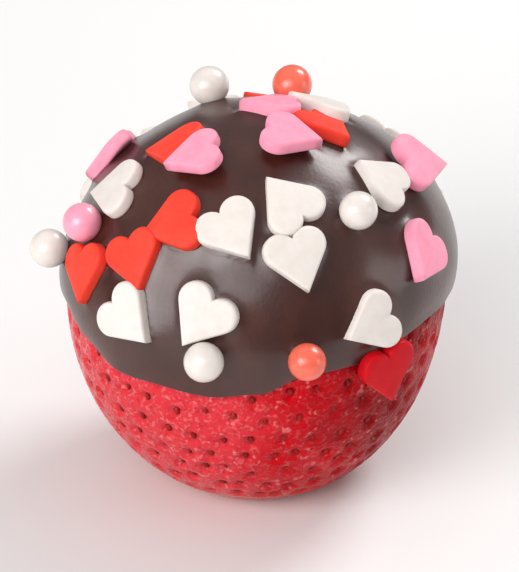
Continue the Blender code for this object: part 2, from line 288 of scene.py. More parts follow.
# %% Helpers for finishes
def screen(red, green, blue):
    """A colour given as it shows on a screen, 0 to 255, as the shader's linear values."""
    return tuple(
        value / 255 / 12.92 if value <= 10 else ((value / 255 + 0.055) / 1.055) ** 2.4
        for value in (red, green, blue)
    )


class Finish:
    """A material, its tree and its shader."""

    def __init__(self, name, **even_values):
        self.material = bpy.data.materials.new(name)
        self.material.use_nodes = True
        self.tree = self.material.node_tree
        self.shader = self.tree.nodes["Principled BSDF"]
        for socket, value in even_values.items():
            self.shader.inputs[socket.replace("_", " ")].default_value = value
        self.place = self.node("ShaderNodeTexCoord", output="Object")

    def node(self, kind, settings=None, inputs=None, output=0):
        return add_node(self.tree, kind, settings, inputs, output)

    def noise(self, size, detail=2.0, roughness=0.5):
        """Soft noise whose blotches are about this big."""
        return self.node(
            "ShaderNodeTexNoise",
            None,
            {"Vector": self.place, "Scale": 1 / size, "Detail": detail, "Roughness": roughness},
        )

    def blend(self, share, low, high):
        """A colour between low and high."""
        inputs = {0: share}
        for slot, colour in ((6, low), (7, high)):
            inputs[slot] = colour if isinstance(colour, Wire) else (*colour, 1)
        return self.node("ShaderNodeMix", {"data_type": "RGBA"}, inputs, output=2)

    def feed(self, socket, wire):
        self.tree.links.new(wire.socket, self.shader.inputs[socket])

    def raise_surface(self, height, distance):
        """A bump from a 0 to 1 height, which stands this tall."""
        bump = self.node("ShaderNodeBump", None, {"Height": height, "Distance": distance, "Strength": 1.0})
        self.feed("Normal", bump)


# %% [markdown]
# ## The strawberry's skin
# A ripe strawberry is puffed up between its seeds, so that each seed sits at the bottom of a soft pit.
# The pits stand in staggered rows. One way is a bump map, but the pits are deep enough to break the
# outline and to hold a shadow, so here the skin is really pressed in: the recipe measures how far each
# point is from the nearest pit and sinks it by a bell curve of that distance. A slow noise makes some
# pits deeper than others, and a low brim rises between them. The recipe keeps the curve as an
# attribute, and the finish uses it to paint shade into the pits, darkening them.

# %% Where the pits are
PIT_COLUMNS = 36
PIT_ROWS = 9
NECK_LENGTH = 3.8 * MM
PIT_WANDER = 0.2
PIT_SEED_NUMBER = 7


def pit_places():
    """Run and azimuth of each pit, by (row, half column)."""
    rng = random.Random(PIT_SEED_NUMBER)
    pitch = TURN * FRUIT_RADIUS / PIT_COLUMNS
    row_height = pitch * math.sqrt(3) / 2
    places = {}
    for row in range(-1, PIT_ROWS + 1):
        for column in range(PIT_COLUMNS):
            half = 2 * column + row % 2
            run = NECK_LENGTH + row_height * (row + 2 / 3) + rng.uniform(-1, 1) * PIT_WANDER * pitch
            azimuth = TURN * (half + rng.uniform(-1, 1) * PIT_WANDER * 2) / (2 * PIT_COLUMNS)
            places[row, half] = run, azimuth
    return places


def seat_matrix(run, azimuth, way, off, tip=Vector()):
    """Turns a piece's -Y towards `way` and its Z off the skin, and sets it this far off it."""
    normal = (skin_normal(run, azimuth) + tip).normalized()
    along = (way - normal * way.dot(normal)).normalized()
    matrix = Matrix((normal.cross(along), -along, normal)).transposed().to_4x4()
    matrix.translation = skin_point(run, azimuth, off)
    return matrix


def seat_points(name, seats):
    """A mesh of bare points, one for each seat matrix, with the turn of each as an attribute."""
    mesh = bpy.data.meshes.new(name)
    mesh.from_pydata([seat.translation for seat in seats], [], [])
    turns = mesh.attributes.new("turn", "FLOAT_VECTOR", "POINT")
    for item, seat in zip(turns.data, seats):
        item.vector = seat.to_euler()
    return show(name, mesh)


pits = [place for (row, _), place in pit_places().items() if 0 <= row < PIT_ROWS]
print(f"{len(pits)} pits")

# %% Skin recipe
recipe, given = new_recipe(
    "pressed skin",
    (
        ("Pits", "Object", None),
        ("Pit depth", "Float", 0.45 * MM),
        ("Pit width", "Float", 0.7 * MM),
        ("Brim height", "Float", 0.08 * MM),
        ("Brim reach", "Float", 1.25 * MM),
        ("Brim width", "Float", 0.4 * MM),
        ("Lump height", "Float", 0.12 * MM),
        ("Skin", "Material", None),
    ),
)
pit_points = add_node(recipe, "GeometryNodeObjectInfo", None, {"Object": given["Pits"]}, output="Geometry")
distance = add_node(
    recipe, "GeometryNodeProximity", {"target_element": "POINTS"}, {0: pit_points}, output="Distance"
)
pit = (-((distance / given["Pit width"]) ** 3)).exp()
brim = (-(((distance - given["Brim reach"]) / given["Brim width"]) ** 2)).exp()
lumps = add_node(recipe, "ShaderNodeTexNoise", None, {"Scale": 1 / (5 * MM), "Detail": 1.0})
variety = add_node(recipe, "ShaderNodeTexNoise", None, {"Scale": 1 / (3 * MM), "Detail": 0.0})
pit_depth = given["Pit depth"] * (variety * 1.6 + 0.2)
offset = (lumps - 0.8) * given["Lump height"] + brim * given["Brim height"] - pit * pit_depth
normal = add_node(recipe, "GeometryNodeInputNormal")
move = add_node(
    recipe, "ShaderNodeVectorMath", {"operation": "SCALE"}, {0: normal, "Scale": offset}
)
height = add_node(
    recipe, "ShaderNodeSeparateXYZ", None, {0: add_node(recipe, "GeometryNodeInputPosition")}, output="Z"
)
on_side = add_node(
    recipe,
    "FunctionNodeCompare",
    {"data_type": "FLOAT", "operation": "GREATER_THAN"},
    {0: height, 1: 0.05 * MM},
)
pressed = add_node(
    recipe,
    "GeometryNodeSetPosition",
    None,
    {"Geometry": given["Geometry"], "Selection": on_side, "Offset": move},
)
marked = add_node(
    recipe,
    "GeometryNodeStoreNamedAttribute",
    {"data_type": "FLOAT", "domain": "POINT"},
    {"Geometry": pressed, "Name": "pit", "Value": pit},
)
end_recipe(recipe, marked, given["Skin"])
skin_recipe = recipe
print(f"pressed skin recipe: {len(skin_recipe.nodes)} nodes")

# %% [markdown]
# The skin's red isn't even. Painted light and shade run across it: rosy where lit on the left, deep
# crimson where shaded on the right, with soft blotches of its own uneven tone on the way. Fine pale
# flecks and a few brighter specks are painted highlights of its wet sparkle, the pits are darkened with
# painted shade, and the shoulder is a little paler.
# The skin is moist, so it has a thin clear coat, and light goes a little way into the flesh. Its index
# of refraction is set low, because a pale floor mirrored at the edges would wash out the red.

# %% Skin finish: the moist red skin
# painted light and shade: the skin goes from rosy, as if lit, to deep crimson, as if shaded, between these
# places
PAINTED_SHADE_STARTS = -14 * MM
PAINTED_SHADE_ENDS = 16 * MM
skin = Finish(
    "Strawberry skin",
    Subsurface_Weight=0.1,
    Subsurface_Radius=(1.0, 0.08, 0.05),
    Subsurface_Scale=1.0 * MM,
    Coat_Roughness=0.07,
    Coat_IOR=1.25,
    IOR=1.2,
    Specular_Tint=(1.0, 0.6, 0.65, 1.0),
)
pit_share = skin.node("ShaderNodeAttribute", {"attribute_name": "pit"}, output="Fac")
blotches = skin.noise(7 * MM)
freckles = skin.noise(0.7 * MM, 3.0)
parts = [skin.node("ShaderNodeSeparateXYZ", None, {0: skin.place}, output=axis) for axis in "XYZ"]
# 0 on the lit left and 1 on the shaded right, shaken by blotches of the skin's own uneven tone
painted_shade_and_blotches = parts[0].steps(PAINTED_SHADE_STARTS, PAINTED_SHADE_ENDS) + (blotches - 0.5) * 0.8
# painted sheen on the left, painted shade on the right
flesh_red = skin.blend(painted_shade_and_blotches.steps(0.15, 0.75), screen(212, 50, 60), screen(190, 4, 20))
flesh_red = skin.blend(painted_shade_and_blotches.steps(0.7, 1.1), flesh_red, screen(138, 0, 8))
# painted highlights: pale pink flecks, fading towards the shaded right, stand for the wet skin's glints
flecks = skin.noise(0.5 * MM, 1.0).steps(0.48, 0.72)
painted_glint_flecks = flecks * (1 - painted_shade_and_blotches.steps(0.1, 1.1) * 0.85)
flesh_red = skin.blend(painted_glint_flecks * 0.4, flesh_red, screen(240, 128, 130))
flesh_red = skin.blend(freckles.steps(0.5, 0.75) * 0.45, flesh_red, screen(150, 0, 8))
# painted highlights: a few bright pink specks of wet sparkle
painted_glint_specks = skin.noise(0.8 * MM, 1.0).steps(0.64, 0.72)
flesh_red = skin.blend(painted_glint_specks * 0.3, flesh_red, screen(250, 166, 164))
# painted shade: the pits are darkened along the pit curve, for the shade that falls in them
flesh_red = skin.blend(pit_share.steps(0.25, 0.95) * 0.4, flesh_red, screen(124, 1, 10))
shoulder = 1 - parts[2].steps(0.2 * MM, 4.5 * MM)
flesh_red = skin.blend(shoulder * 0.35, flesh_red, screen(236, 120, 96))
print(f"red skin: {len(skin.tree.nodes)} nodes")

# %% [markdown]
# The cut face shows the inside: a cream core, pink flesh with fine streaks, and the red edge. It is a
# colour ramp over the distance from the core, shaken by a little noise, and it takes the red's place
# wherever the berry's height is almost nothing.

# %% Skin finish: the cut face, gloss and bumps
out_from_core = skin.node(
    "ShaderNodeVectorMath",
    {"operation": "LENGTH"},
    {0: skin.node("ShaderNodeCombineXYZ", None, {0: parts[0], 1: parts[1]})},
    output="Value",
)
flesh_rings = skin.node(
    "ShaderNodeValToRGB",
    {
        "stops": (
            (0.0, screen(250, 232, 205)),
            (0.3, screen(248, 214, 190)),
            (0.42, screen(243, 150, 132)),
            (0.8, screen(232, 92, 84)),
            (1.0, screen(200, 24, 32)),
        )
    },
    {"Fac": out_from_core / RADII[0] + (skin.noise(1.1 * MM) - 0.5) * 0.16},
)
inside = 1 - parts[2].steps(0.02 * MM, 0.12 * MM)
skin.feed("Base Color", skin.blend(inside, flesh_red, flesh_rings))
skin.feed("Roughness", 0.15 + freckles * 0.14 + painted_shade_and_blotches.steps(0.5, 1.1) * 0.15 + inside * 0.15)
skin.feed("Coat Weight", 0.15 - painted_shade_and_blotches.steps(0.2, 1.0) * 0.11 - inside * 0.04)
skin.raise_surface(skin.noise(1.0 * MM, 2.0) * 0.5 + flecks * 0.25 + freckles * 0.25, 0.32 * MM)
print(f"skin finish: {len(skin.tree.nodes)} nodes")

# %% Skin mesh
SKIN_COLUMNS = 300
SKIN_ROWS = 120
bm = bmesh.new()
rings = []
for row in range(SKIN_ROWS):
    run = TIP_RUN * row / SKIN_ROWS
    rings.append([bm.verts.new(skin_point(run, TURN * i / SKIN_COLUMNS)) for i in range(SKIN_COLUMNS)])
for low, high in zip(rings, rings[1:]):
    join_rings(bm, low, high)
close_ring(bm, rings[-1], bm.verts.new(skin_point(TIP_RUN, 0.0)))
inner_ring = rings[0]
for share in (0.94, 0.75, 0.5, 0.25):
    ring = [bm.verts.new(vertex.co * share) for vertex in rings[0]]
    join_rings(bm, inner_ring, ring)
    inner_ring = ring
close_ring(bm, inner_ring, bm.verts.new((0, 0, 0)))
for vertex in inner_ring:
    vertex.co.z = 0.0
base = show("skin base", plain_mesh("skin base", bm))
up = Vector((0, 0, 1))
pit_seats = [seat_matrix(run, azimuth, -up, 0.0) for run, azimuth in pits]
pit_cloud = seat_points("pit cloud", pit_seats)
berry = run_recipe("berry", base, skin_recipe, {"Pits": pit_cloud, "Skin": skin.material})
bpy.data.objects.remove(pit_cloud)
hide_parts("strawberry")
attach(berry, "root")
print(f"berry: {len(berry.data.polygons)} faces")

# %% [markdown]
# ## The seeds
# What look like seeds are the real fruits of the plant: hard little teardrops, pointed towards the
# tip, and dark red on a ripe berry. One is modelled from a sphere, and a recipe strews it over the
# pits with a change of size each time. The same recipe strews the sprinkles later.

# %% Strewing recipe
recipe, given = new_recipe(
    "strewn pieces",
    (
        ("Piece", "Object", None),
        ("Smallest", "Float", 0.9),
        ("Largest", "Float", 1.1),
        ("Seed", "Int", 0),
        ("Finish", "Material", None),
    ),
)
piece_shape = add_node(
    recipe, "GeometryNodeObjectInfo", None, {"Object": given["Piece"]}, output="Geometry"
)
turn = add_node(
    recipe, "GeometryNodeInputNamedAttribute", {"data_type": "FLOAT_VECTOR"}, {"Name": "turn"}
)
turned = add_node(recipe, "FunctionNodeEulerToRotation", None, {0: turn})
size_node = recipe.nodes.new("FunctionNodeRandomValue")
size_node.data_type = "FLOAT"
recipe.links.new(given["Smallest"].socket, size_node.inputs[2])
recipe.links.new(given["Largest"].socket, size_node.inputs[3])
recipe.links.new(given["Seed"].socket, size_node.inputs["Seed"])
strewn = add_node(
    recipe,
    "GeometryNodeInstanceOnPoints",
    None,
    {
        "Points": given["Geometry"],
        "Instance": piece_shape,
        "Rotation": turned,
        "Scale": Wire(recipe, size_node.outputs[1]),
    },
)
end_recipe(recipe, strewn, given["Finish"])
strewing_recipe = recipe
print(f"strewing recipe: {len(strewing_recipe.nodes)} nodes")


def strew(name, seats, shape, finish, sizes=(0.95, 1.05), seed=0):
    """A piece made of one copy of the shape at each seat."""
    values = {
        "Piece": shape,
        "Smallest": sizes[0],
        "Largest": sizes[1],
        "Seed": seed,
        "Finish": finish.material,
    }
    piece = run_recipe(name, seat_points(f"{name} seats", seats), strewing_recipe, values)
    print(f"{name}: {len(seats)} copies, {len(piece.data.polygons)} faces")
    return piece


# %% Seed finish
seed_finish = Finish("Strawberry seed", Coat_Weight=0.05, Specular_IOR_Level=0.2, Roughness=0.45)
seed_tint = seed_finish.noise(1.6 * MM)
seed_finish.feed(
    "Base Color", seed_finish.blend(seed_tint.steps(0.35, 0.65), screen(126, 8, 10), screen(158, 32, 22))
)
seed_finish.raise_surface(seed_finish.noise(0.25 * MM), 0.04 * MM)

# %% Seeds in the pits
SEED_LENGTH = 0.95 * MM
SEED_WIDTH = 0.6 * MM
SEED_THICKNESS = 0.5 * MM
SEED_SUNK = 0.36 * MM
bm = bmesh.new()
bmesh.ops.create_uvsphere(bm, u_segments=10, v_segments=8, radius=0.5)
for vertex in bm.verts:
    x, y, z = vertex.co
    taper = 1 - 0.45 * max(0.0, 2 * z) ** 1.5
    vertex.co = (x * taper * SEED_WIDTH, z * SEED_LENGTH, -y * taper * SEED_THICKNESS)
seed_shape = show("seed shape", plain_mesh("seed shape", bm))
seed_seats = [seat_matrix(run, azimuth, up, -SEED_SUNK) for run, azimuth in pits]
seeds = strew("seeds", seed_seats, seed_shape, seed_finish, (0.65, 1.15), 3)
bpy.data.objects.remove(seed_shape)
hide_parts("strawberry")
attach(seeds, "root")

# %% [markdown]
# ## The sprinkles' places
# The sprinkles that the front view shows were read off it one by one: kind, colour, place and the way
# each heart's point faces. A place on the picture becomes a place on the chocolate by a search over
# the cap for the spot that shows there. The far side is strewn by a seeded draw, a little thinner. The
# same numbers and the same search set the solid sprinkles of the CAD model, so the two agree.

# %% How thick the chocolate is and where it ends
GAP = 0.3 * MM
CHOCOLATE_AT_EDGE = 0.4 * MM
EDGE_REACH = 4 * MM
CHOCOLATE_ON_FLANK = 0.75 * MM
CHOCOLATE_AT_TIP = 1.15 * MM
RIM_STEP = 15  # degrees between two of the rim's measured heights
RIM_RISES = (
    *(-0.4, 1.4, 1.5, 2.2, 2.3, 1.8, 1.1, 0.4, -0.5, -0.3, 0.3, 0.8),
    *(1.1, 0.8, 0.2, -0.3, -0.8, -0.2, 0.9, 1.4, 0.2, -1.2, -0.9, -1.1),
)  # in mm over the widest ring, from the front round to the right


def rim_run(azimuth):
    """Where the chocolate ends: the dip's wavy edge, drawn smoothly through RIM_RISES."""
    place = math.degrees(azimuth % TURN) / RIM_STEP
    before = int(place)
    share = (1 - math.cos(math.pi * (place - before))) / 2
    low, high = RIM_RISES[before % len(RIM_RISES)], RIM_RISES[(before + 1) % len(RIM_RISES)]
    return RIM_RUN + (low + (high - low) * share) * MM


def chocolate_off(run, azimuth):
    """How far the chocolate's outer face stands off the fruit's skin."""
    past_rim = max(0.0, run - rim_run(azimuth))
    share = past_rim / (TIP_RUN - rim_run(azimuth))
    thinning = max(0.0, 1 - past_rim / EDGE_REACH) ** 2
    return (
        GAP
        + CHOCOLATE_ON_FLANK
        + (CHOCOLATE_AT_TIP - CHOCOLATE_ON_FLANK) * share**2
        + (CHOCOLATE_AT_EDGE - CHOCOLATE_ON_FLANK) * thinning
    )


print(f"chocolate: {CHOCOLATE_AT_EDGE / MM:.1f} mm at its edge, {CHOCOLATE_AT_TIP / MM:.2f} mm at the tip")

# %% Sprinkles read off the front view
HEART_WIDTH = 6.4 * MM
HEART_LENGTH = 6.3 * MM
HEART_THICKNESS = 1.5 * MM
HEART_SUNK = 0.25 * MM
PEARL_RADIUS = 2.0 * MM
PEARL_SUNK = 0.4 * MM
VIEW_ELEVATION = math.radians(32)
MM_PER_PIXEL = 0.57
VIEW_MIDDLE = (213, 250)

# kind, colour, x, y, the way its point faces (degrees, 0 right and 90 up), lift off the chocolate
# in mm, and how far it is tipped towards the viewer, or away if less than 0 (0 lies flat)
FRONT_SPRINKLES = (
    ("pearl", "white", 204.5, 213, 0, 0.2, 0),
    ("pearl", "coral", 219.5, 214, 0, 0, 0),
    ("heart", "pink", 215.5, 218, 180, -0.1, -0.2),
    ("heart", "white", 224, 218, 165, -0.1, -0.2),
    ("heart", "red", 225.5, 222, 320, -0.1, -0.2),
    ("heart", "pink", 219.5, 223.5, 345, 0.7, -0.15),
    ("heart", "red", 198.5, 225.5, 190, -0.1, -0.2),
    ("heart", "pink", 202, 227, 200, 1.0, -0.2),
    ("heart", "white", 188, 233, 193, 0, 0),
    ("heart", "pink", 186, 225.5, 225, 0, -0.2),
    ("pearl", "pink", 182.5, 238.5, 0, 0, 0),
    ("pearl", "white", 176.5, 243, 0, 0.2, 0),
    ("heart", "red", 198.5, 239, 200, 0, 0),
    ("heart", "red", 183, 247.5, 265, 0, 0),
    ("heart", "red", 192, 245.5, 280, 0, 0),
    ("heart", "white", 209, 240.5, 304, 0, 0),
    ("heart", "white", 218.5, 235, 133, 0, 0),
    ("heart", "white", 220.5, 245.5, 288, 0, 0),
    ("pearl", "white", 231, 236.5, 0, 0, 0),
    ("heart", "white", 235, 231, 145, 0, 0),
    ("heart", "pink", 242.5, 228, 340, 0.9, 0.35),
    ("heart", "pink", 242.5, 244.5, 255, 0, -0.15),
    ("heart", "white", 233, 256.5, 212, 0, 0.15),
    ("heart", "white", 203.5, 255.5, 236, 0, 0),
    ("pearl", "white", 204, 263, 0, 0, 0),
    ("heart", "white", 191, 255.5, 309, 0, 0),
    ("pearl", "coral", 222, 263, 0, 0, 0),
    ("heart", "crimson", 236, 265, 275, 0, 0),
)
print(f"{len(FRONT_SPRINKLES)} sprinkles show in front")

# %% The spot on the chocolate that shows at a pixel
def view_axes():
    """Right, up and towards the eye in the front view."""
    lift, level = math.sin(VIEW_ELEVATION), math.cos(VIEW_ELEVATION)
    return Vector((1, 0, 0)), Vector((0, lift, level)), Vector((0, -level, lift))


def seat_seen_at(x, y, middle):
    """Run and azimuth of the cap's place where a sprinkle shows at this pixel, its middle that far off."""
    right, up_axis, eye = view_axes()
    origin = Vector((0, 0, CUT_TO_WIDEST))
    scale = MM_PER_PIXEL * MM
    wanted = Vector(((x - VIEW_MIDDLE[0]) * scale, (VIEW_MIDDLE[1] - y) * scale))

    def miss(run, azimuth):
        seen = skin_point(run, azimuth, chocolate_off(run, azimuth) + middle) - origin
        away = (Vector((seen.dot(right), seen.dot(up_axis))) - wanted).length
        turned_away = max(0.0, LEAST_FACING - skin_normal(run, azimuth).dot(eye))
        return away + turned_away * FRUIT_RADIUS

    lowest, highest = RIM_RUN - 2 * MM, TIP_RUN - 0.1 * MM
    grid = [(lowest + (highest - lowest) * i / 16, TURN * j / 36) for i in range(17) for j in range(36)]
    run, azimuth = min(grid, key=lambda place: miss(*place))
    run_step, azimuth_step = 1 * MM, TURN / 72
    while run_step > 0.01 * MM:
        around = [
            (min(run + i * run_step, highest), azimuth + j * azimuth_step)
            for i in (-1, 0, 1)
            for j in (-1, 0, 1)
        ]
        nearest = min(around, key=lambda place: miss(*place))
        if nearest == (run, azimuth):
            run_step, azimuth_step = run_step / 2, azimuth_step / 2
        run, azimuth = nearest
    return run, azimuth


# %% All the seats, by kind and colour
HIDDEN_TRIES = 5000
HIDDEN_SPACING = 4.9 * MM
HIDDEN_LIFT = 0.5
HIDDEN_SEED_NUMBER = 50
HIDDEN_HEARTS = 0.65
HEART_HIDES_AT = -0.36  # how far the skin faces away from the viewer where a heart is out of sight
PEARL_HIDES_AT = -0.5
LEAST_FACING = 0.08  # and how far it faces the viewer, at least, under a sprinkle that shows
COLOUR_SEED_NUMBER = 44


def seat_off(kind, run, azimuth, lift):
    """How far off the fruit's skin a sprinkle's own origin goes: a heart's underside, a pearl's middle."""
    base_off = chocolate_off(run, azimuth) + lift
    return base_off + PEARL_RADIUS - PEARL_SUNK if kind == "pearl" else base_off - HEART_SUNK


def along_skin(way, run, azimuth):
    """The direction along the skin here that shows as `way` in the front view."""
    _, _, eye = view_axes()
    normal = skin_normal(run, azimuth)
    return way - eye * (way.dot(normal) / max(normal.dot(eye), 0.25))


def front_seats():
    right, up_axis, _ = view_axes()
    for kind, colour, x, y, way, lift, tip in FRONT_SPRINKLES:
        middle = PEARL_RADIUS - PEARL_SUNK if kind == "pearl" else HEART_THICKNESS / 2 - HEART_SUNK
        run, azimuth = seat_seen_at(x, y, middle + lift * MM)
        angle = math.radians(way)
        pointing = right * math.cos(angle) + up_axis * math.sin(angle)
        yield kind, colour, run, azimuth, along_skin(pointing, run, azimuth), lift * MM, tip


def hidden_seats(taken):
    rng = random.Random(HIDDEN_SEED_NUMBER)
    colours = random.Random(COLOUR_SEED_NUMBER)
    _, _, eye = view_axes()
    for _ in range(HIDDEN_TRIES):
        azimuth = rng.uniform(0, TURN)
        run = rng.uniform(rim_run(azimuth) + HEART_LENGTH / 2, TIP_RUN)
        keep = rng.random()
        way = Vector([rng.uniform(-1, 1) for _ in range(3)])
        kind = "heart" if rng.random() < HIDDEN_HEARTS else "pearl"
        lift = rng.uniform(0, HIDDEN_LIFT) * MM if kind == "heart" else 0.0
        place = skin_point(run, azimuth)
        out_of_view = HEART_HIDES_AT if kind == "heart" else PEARL_HIDES_AT
        if keep > at_run(run)[0] / FRUIT_RADIUS or skin_normal(run, azimuth).dot(eye) > out_of_view:
            continue
        if min((place - other).length for other in taken) < HIDDEN_SPACING:
            continue
        taken.append(place)
        choice = ("white", "white", "pink", "red") if kind == "heart" else ("white", "pink", "coral")
        yield kind, colours.choice(choice), run, azimuth, way, lift, 0


seats = list(front_seats())
seats += hidden_seats([skin_point(run, azimuth) for _, _, run, azimuth, *_ in seats])
by_finish = {}
_, _, eye = view_axes()
for kind, colour, run, azimuth, way, lift, tip in seats:
    matrix = seat_matrix(run, azimuth, way, seat_off(kind, run, azimuth, lift), eye * tip)
    by_finish.setdefault((kind, colour), []).append(matrix)
print({" ".join(key): len(value) for key, value in by_finish.items()})

# %% [markdown]
# ## The sugar hearts and pearls
# The hearts are pressed sugar: flat, with softly rounded edges and a faintly domed face. One is built
# as an outline of two round lobes and two straight flanks, repeated in rings that draw in as they rise
# round the edge. The pearls are small hard balls of sugar with a thin shine.

# %% Heart and pearl shapes
LOBE_SHARE = 0.27
LOBE_STEPS = 14
FLANK_STEPS = 5
HEART_EDGE = 0.42 * MM
EDGE_STEPS = 5


def heart_outline():
    """A heart's outline from its notch round to its point and back, its point towards -Y."""
    lobe = LOBE_SHARE * HEART_WIDTH
    across = HEART_WIDTH / 2 - lobe
    raised = HEART_LENGTH / 2 - lobe
    point = Vector((0.0, -HEART_LENGTH / 2))
    to_point = point - Vector((across, raised))
    first = math.acos(-across / lobe)
    last = math.atan2(to_point.y, to_point.x) + math.acos(lobe / to_point.length)
    right = []
    for step in range(1, LOBE_STEPS + 1):
        angle = first + (last - first) * step / LOBE_STEPS
        right.append(Vector((across + lobe * math.cos(angle), raised + lobe * math.sin(angle))))
    flank = right[-1]
    right += [flank.lerp(point, step / FLANK_STEPS) for step in range(1, FLANK_STEPS)]
    notch = Vector((0.0, raised + lobe * math.sin(first)))
    left = [Vector((-corner.x, corner.y)) for corner in reversed(right)]
    return [notch, *right, point, *left]


def heart_mesh():
    outline = heart_outline()
    half = HEART_LENGTH / 2
    turns = [math.pi / 2 * step / EDGE_STEPS for step in range(EDGE_STEPS + 1)]
    profile = [(HEART_EDGE * (1 - math.sin(turn)), HEART_EDGE * (1 - math.cos(turn))) for turn in turns]
    profile += [
        (HEART_EDGE * (1 - math.cos(turn)), HEART_THICKNESS - HEART_EDGE * (1 - math.sin(turn)))
        for turn in turns
    ]
    profile += [(half * 0.45, HEART_THICKNESS + 0.07 * MM), (half * 0.75, HEART_THICKNESS + 0.1 * MM)]
    bm = bmesh.new()
    rings = []
    for inset, height in profile:
        scale = 1 - inset / half
        rings.append([bm.verts.new((corner.x * scale, corner.y * scale, height)) for corner in outline])
    for low, high in zip(rings, rings[1:]):
        join_rings(bm, low, high)
    close_ring(bm, rings[0], bm.verts.new((0, 0, 0)))
    close_ring(bm, rings[-1], bm.verts.new((0, 0, HEART_THICKNESS + 0.11 * MM)))
    return plain_mesh("heart shape", bm)


def pearl_mesh():
    bm = bmesh.new()
    bmesh.ops.create_uvsphere(bm, u_segments=24, v_segments=16, radius=PEARL_RADIUS)
    return plain_mesh("pearl shape", bm)


shapes = {"heart": show("heart shape", heart_mesh()), "pearl": show("pearl shape", pearl_mesh())}

# %% Sugar finishes
SUGAR_COLOURS = {
    "white": (screen(228, 220, 214), screen(218, 207, 199)),
    "pink": (screen(247, 160, 184), screen(242, 138, 166)),
    "red": (screen(244, 72, 54), screen(234, 52, 42)),
    "crimson": (screen(206, 6, 24), screen(184, 4, 20)),
    "coral": (screen(240, 106, 80), screen(226, 80, 60)),
}


def sugar(kind, colour):
    """Pressed sugar for hearts, with a dull powdery face, or polished sugar for pearls."""
    polished = kind == "pearl"
    finish = Finish(
        f"{colour} sugar {kind}",
        Subsurface_Weight=0.25,
        Subsurface_Radius=(1.0, 0.7, 0.6),
        Subsurface_Scale=0.5 * MM,
        Coat_Weight=0.5 if polished else 0.03,
        Coat_Roughness=0.12 if polished else 0.3,
        Specular_IOR_Level=0.5 if polished else 0.15,
    )
    bright, deep = SUGAR_COLOURS[colour]
    cloud = finish.noise(1.3 * MM, 3.0)
    finish.feed("Base Color", finish.blend(cloud.steps(0.3, 0.8) * 0.5, bright, deep))
    finish.feed("Roughness", cloud * 0.15 + (0.25 if polished else 0.45))
    finish.raise_surface(finish.noise(0.3 * MM, 3.0, 0.7), (0.02 if polished else 0.035) * MM)
    return finish


# %% Strew the sprinkles
sprinkles = bpy.data.collections.new("sprinkles")
for number, ((kind, colour), matrices) in enumerate(sorted(by_finish.items())):
    piece = strew(f"{colour}_{kind}s", matrices, shapes[kind], sugar(kind, colour), (0.95, 1.04), number)
    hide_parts("chocolate_coating")
    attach(piece, "root")
    sprinkles.objects.link(piece)
for shape in shapes.values():
    bpy.data.objects.remove(shape)

# %% [markdown]
# ## The chocolate
# The dip leaves a skin of chocolate about a millimetre thick, rounded where it ends, a little thicker
# at the tip and never quite even. Wet chocolate also climbs a little way up whatever is pressed into
# it. So the shell is a closed surface made in rings, and a recipe then lifts its outer face beside
# each sprinkle by how near the nearest one is, and adds slow swells.

# %% Chocolate recipe
recipe, given = new_recipe(
    "settled chocolate",
    (
        ("Sprinkles", "Collection", None),
        ("Climb height", "Float", 0.3 * MM),
        ("Climb reach", "Float", 0.5 * MM),
        ("Swell height", "Float", 0.5 * MM),
        ("Chocolate", "Material", None),
    ),
)
sprinkle_shapes = add_node(
    recipe,
    "GeometryNodeRealizeInstances",
    None,
    {0: add_node(recipe, "GeometryNodeCollectionInfo", None, {"Collection": given["Sprinkles"]})},
)
distance = add_node(
    recipe, "GeometryNodeProximity", {"target_element": "FACES"}, {0: sprinkle_shapes}, output="Distance"
)
climb = (-(distance / given["Climb reach"])).exp() * given["Climb height"]
swell = add_node(recipe, "ShaderNodeTexNoise", None, {"Scale": 1 / (9 * MM), "Detail": 1.0})
outer_face = add_node(
    recipe, "GeometryNodeInputNamedAttribute", {"data_type": "FLOAT"}, {"Name": "outer_face"}
)
lift = (climb + (swell - 0.55) * given["Swell height"]) * outer_face
move = add_node(
    recipe,
    "ShaderNodeVectorMath",
    {"operation": "SCALE"},
    {0: add_node(recipe, "GeometryNodeInputNormal"), "Scale": lift},
)
settled = add_node(
    recipe, "GeometryNodeSetPosition", None, {"Geometry": given["Geometry"], "Offset": move}
)
end_recipe(recipe, settled, given["Chocolate"])
chocolate_recipe = recipe
print(f"settled chocolate recipe: {len(chocolate_recipe.nodes)} nodes")

# %% Chocolate finish
chocolate = Finish(
    "Dark chocolate", Coat_Roughness=0.2, Specular_IOR_Level=0.45, Specular_Tint=(1.0, 0.95, 0.95, 1.0)
)
streaks = chocolate.noise(6 * MM, 3.0)
grain = chocolate.noise(0.5 * MM, 3.0)
lighter_brown = chocolate.blend(grain, screen(60, 22, 12), screen(74, 33, 21))
chocolate.feed(
    "Base Color", chocolate.blend(streaks.steps(0.3, 0.7), screen(52, 17, 8), lighter_brown)
)
chocolate.feed("Roughness", 0.31 + streaks * 0.1 + grain * 0.06)
chocolate.feed("Coat Weight", 0.4 + streaks * 0.3)
chocolate.raise_surface(grain * 0.5 + streaks * 0.5, 0.06 * MM)
print(f"chocolate finish: {len(chocolate.tree.nodes)} nodes")

# %% Chocolate mesh
SHELL_COLUMNS = 360
SHELL_ROWS = 100
LIP_STEPS = 8
bm = bmesh.new()
outer_layer = bm.verts.layers.float.new("outer_face")
rings = []


def add_shell_ring(run_at, off_at, outer):
    ring = []
    for column in range(SHELL_COLUMNS):
        azimuth = TURN * column / SHELL_COLUMNS
        run = run_at(azimuth)
        vertex = bm.verts.new(skin_point(run, azimuth, off_at(run, azimuth)))
        vertex[outer_layer] = outer
        ring.append(vertex)
    rings.append(ring)


def share_run(share):
    return lambda azimuth: rim_run(azimuth) + (TIP_RUN - rim_run(azimuth)) * share


